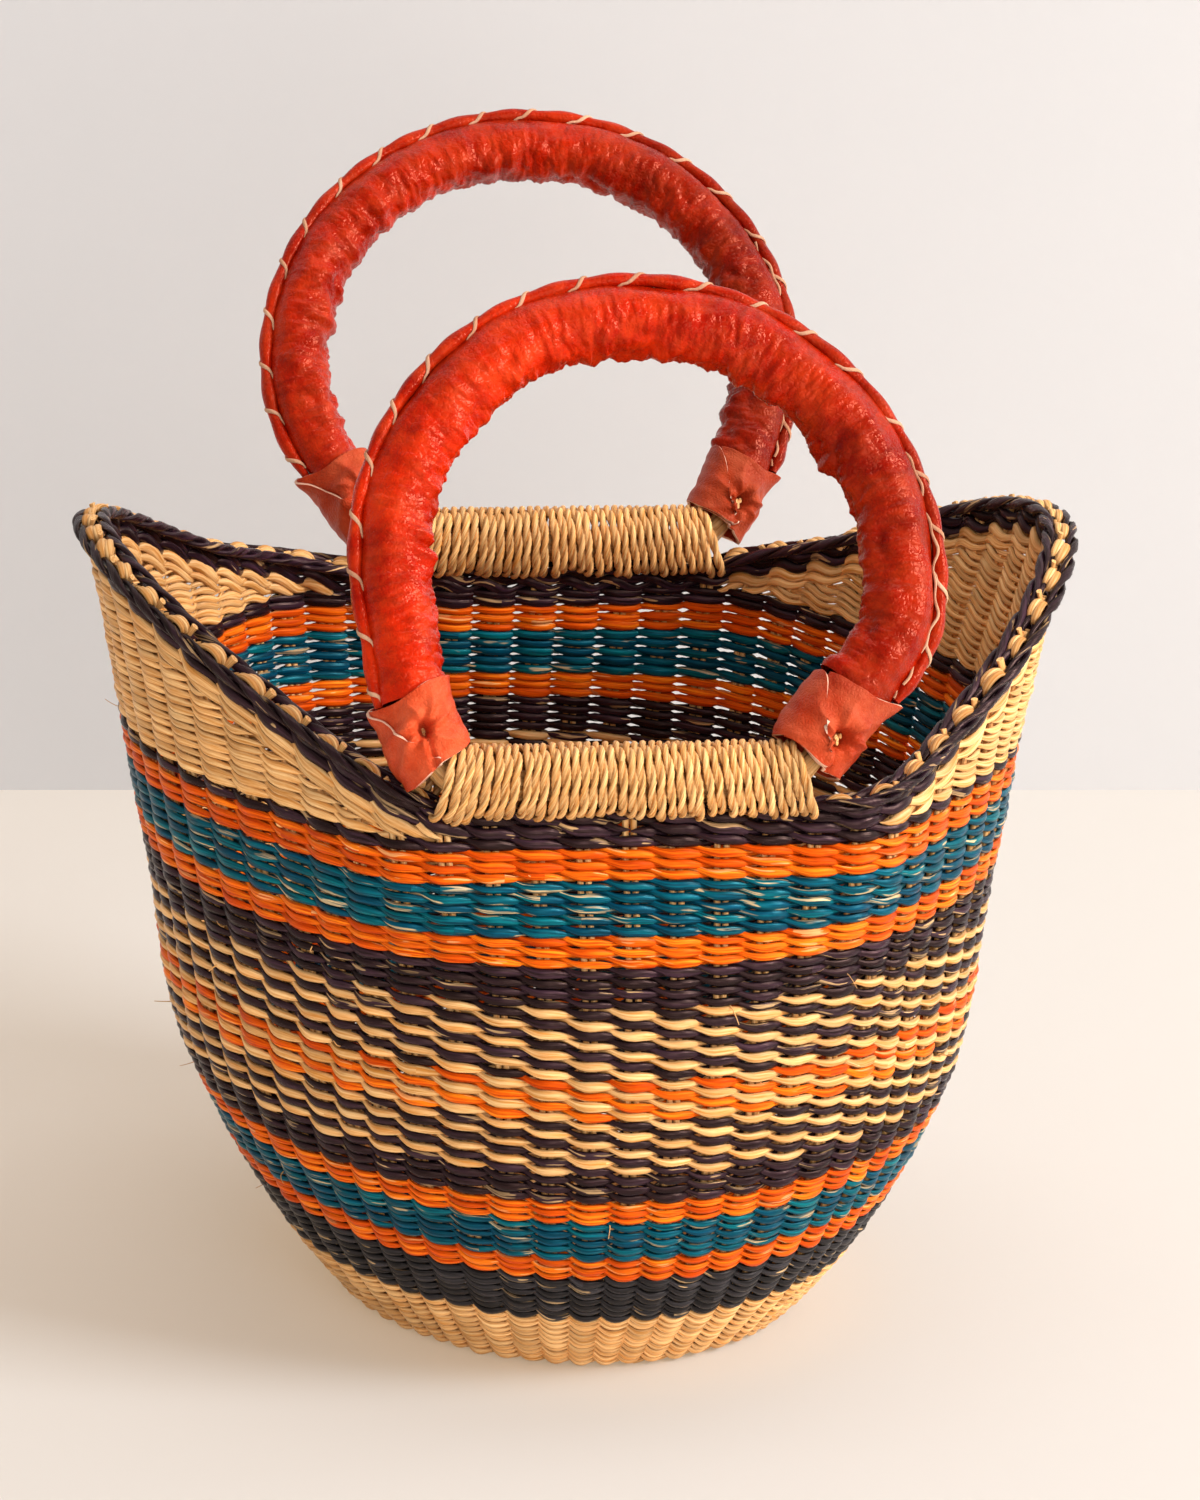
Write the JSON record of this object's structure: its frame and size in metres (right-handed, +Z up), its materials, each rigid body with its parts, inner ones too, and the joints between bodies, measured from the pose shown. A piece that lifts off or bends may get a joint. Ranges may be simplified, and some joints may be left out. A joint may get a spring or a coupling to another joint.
{
  "type": "woven straw basket",
  "caption": "Round-bottomed twined straw market basket with coloured bands, raised ends, a folded rim and two leather-covered ring handles that swing.",
  "frame": {"origin": "centre of the flat round base, on the surface the basket stands on", "axes": "+Z up; the front handle is on the -Y side; the raised ends of the mouth lie along X"},
  "size_m": [0.274, 0.318, 0.2927],
  "materials": {
    "straw_natural": "natural split straw, satin sheen, fine lines along the fibre",
    "straw_navy": "dyed straw, black-violet, satin sheen",
    "straw_orange": "dyed straw, vivid orange, satin sheen",
    "straw_teal": "dyed straw, uneven blue-green, pale flecks where the dye missed",
    "straw_navy_mixed": "rows that alternate natural and black-violet straw",
    "straw_orange_mixed": "rows that alternate natural and orange straw",
    "straw_bundle": "bundled straw, matte",
    "leather_red": "dyed goatskin, wrinkled, semi-gloss with darker patches",
    "leather_cuff": "dyed goatskin, matte, with pale cut edges",
    "lace_pale": "undyed thong, matte",
    "peg_straw": "cut straw end, matte"
  },
  "bodies": {
    "basket": {"base_disc": "straw_natural", "foot_natural": "straw_natural", "band_black": "straw_navy", "band_orange_1": "straw_orange", "band_teal_1": "straw_teal", "band_orange_2": "straw_orange", "band_navy_1": "straw_navy", "band_navy_straw_1": "straw_navy_mixed", "band_orange_straw": "straw_orange_mixed", "band_navy_straw_2": "straw_navy_mixed", "band_navy_2": "straw_navy", "band_orange_3": "straw_orange", "band_teal_2": "straw_teal", "band_orange_4": "straw_orange", "shoulder_row": "straw_navy", "crescent_left": "straw_natural", "crescent_right": "straw_natural", "rim_border": "straw_navy", "rim_cord_outer": "straw_navy", "rim_cord_inner": "straw_navy", "rim_folded_ends": "straw_natural", "front_whipping": "straw_natural", "back_whipping": "straw_natural"},
    "front_handle": {"front_handle_core": "straw_bundle", "front_handle_leather": "leather_red", "front_handle_seam": "leather_red", "front_handle_lace": "lace_pale", "front_cuff_left": "leather_cuff", "front_peg_left": "peg_straw", "front_cuff_right": "leather_cuff", "front_peg_right": "peg_straw"},
    "back_handle": {"back_handle_core": "straw_bundle", "back_handle_leather": "leather_red", "back_handle_seam": "leather_red", "back_handle_lace": "lace_pale", "back_cuff_left": "leather_cuff", "back_peg_left": "peg_straw", "back_cuff_right": "leather_cuff", "back_peg_right": "peg_straw"}
  },
  "joints": [
    {"name": "front_handle_swing", "type": "hinge", "parent": "basket", "child": "front_handle", "pos_m": [-0.0075, -0.09546, 0.17489], "axis": [1, 0, 0], "range_deg": [-18.3, 111.7]},
    {"name": "back_handle_swing", "type": "hinge", "parent": "basket", "child": "back_handle", "pos_m": [0.007, 0.11546, 0.17109], "axis": [-1, 0, 0], "range_deg": [-90.6, 39.4]}
  ]
}
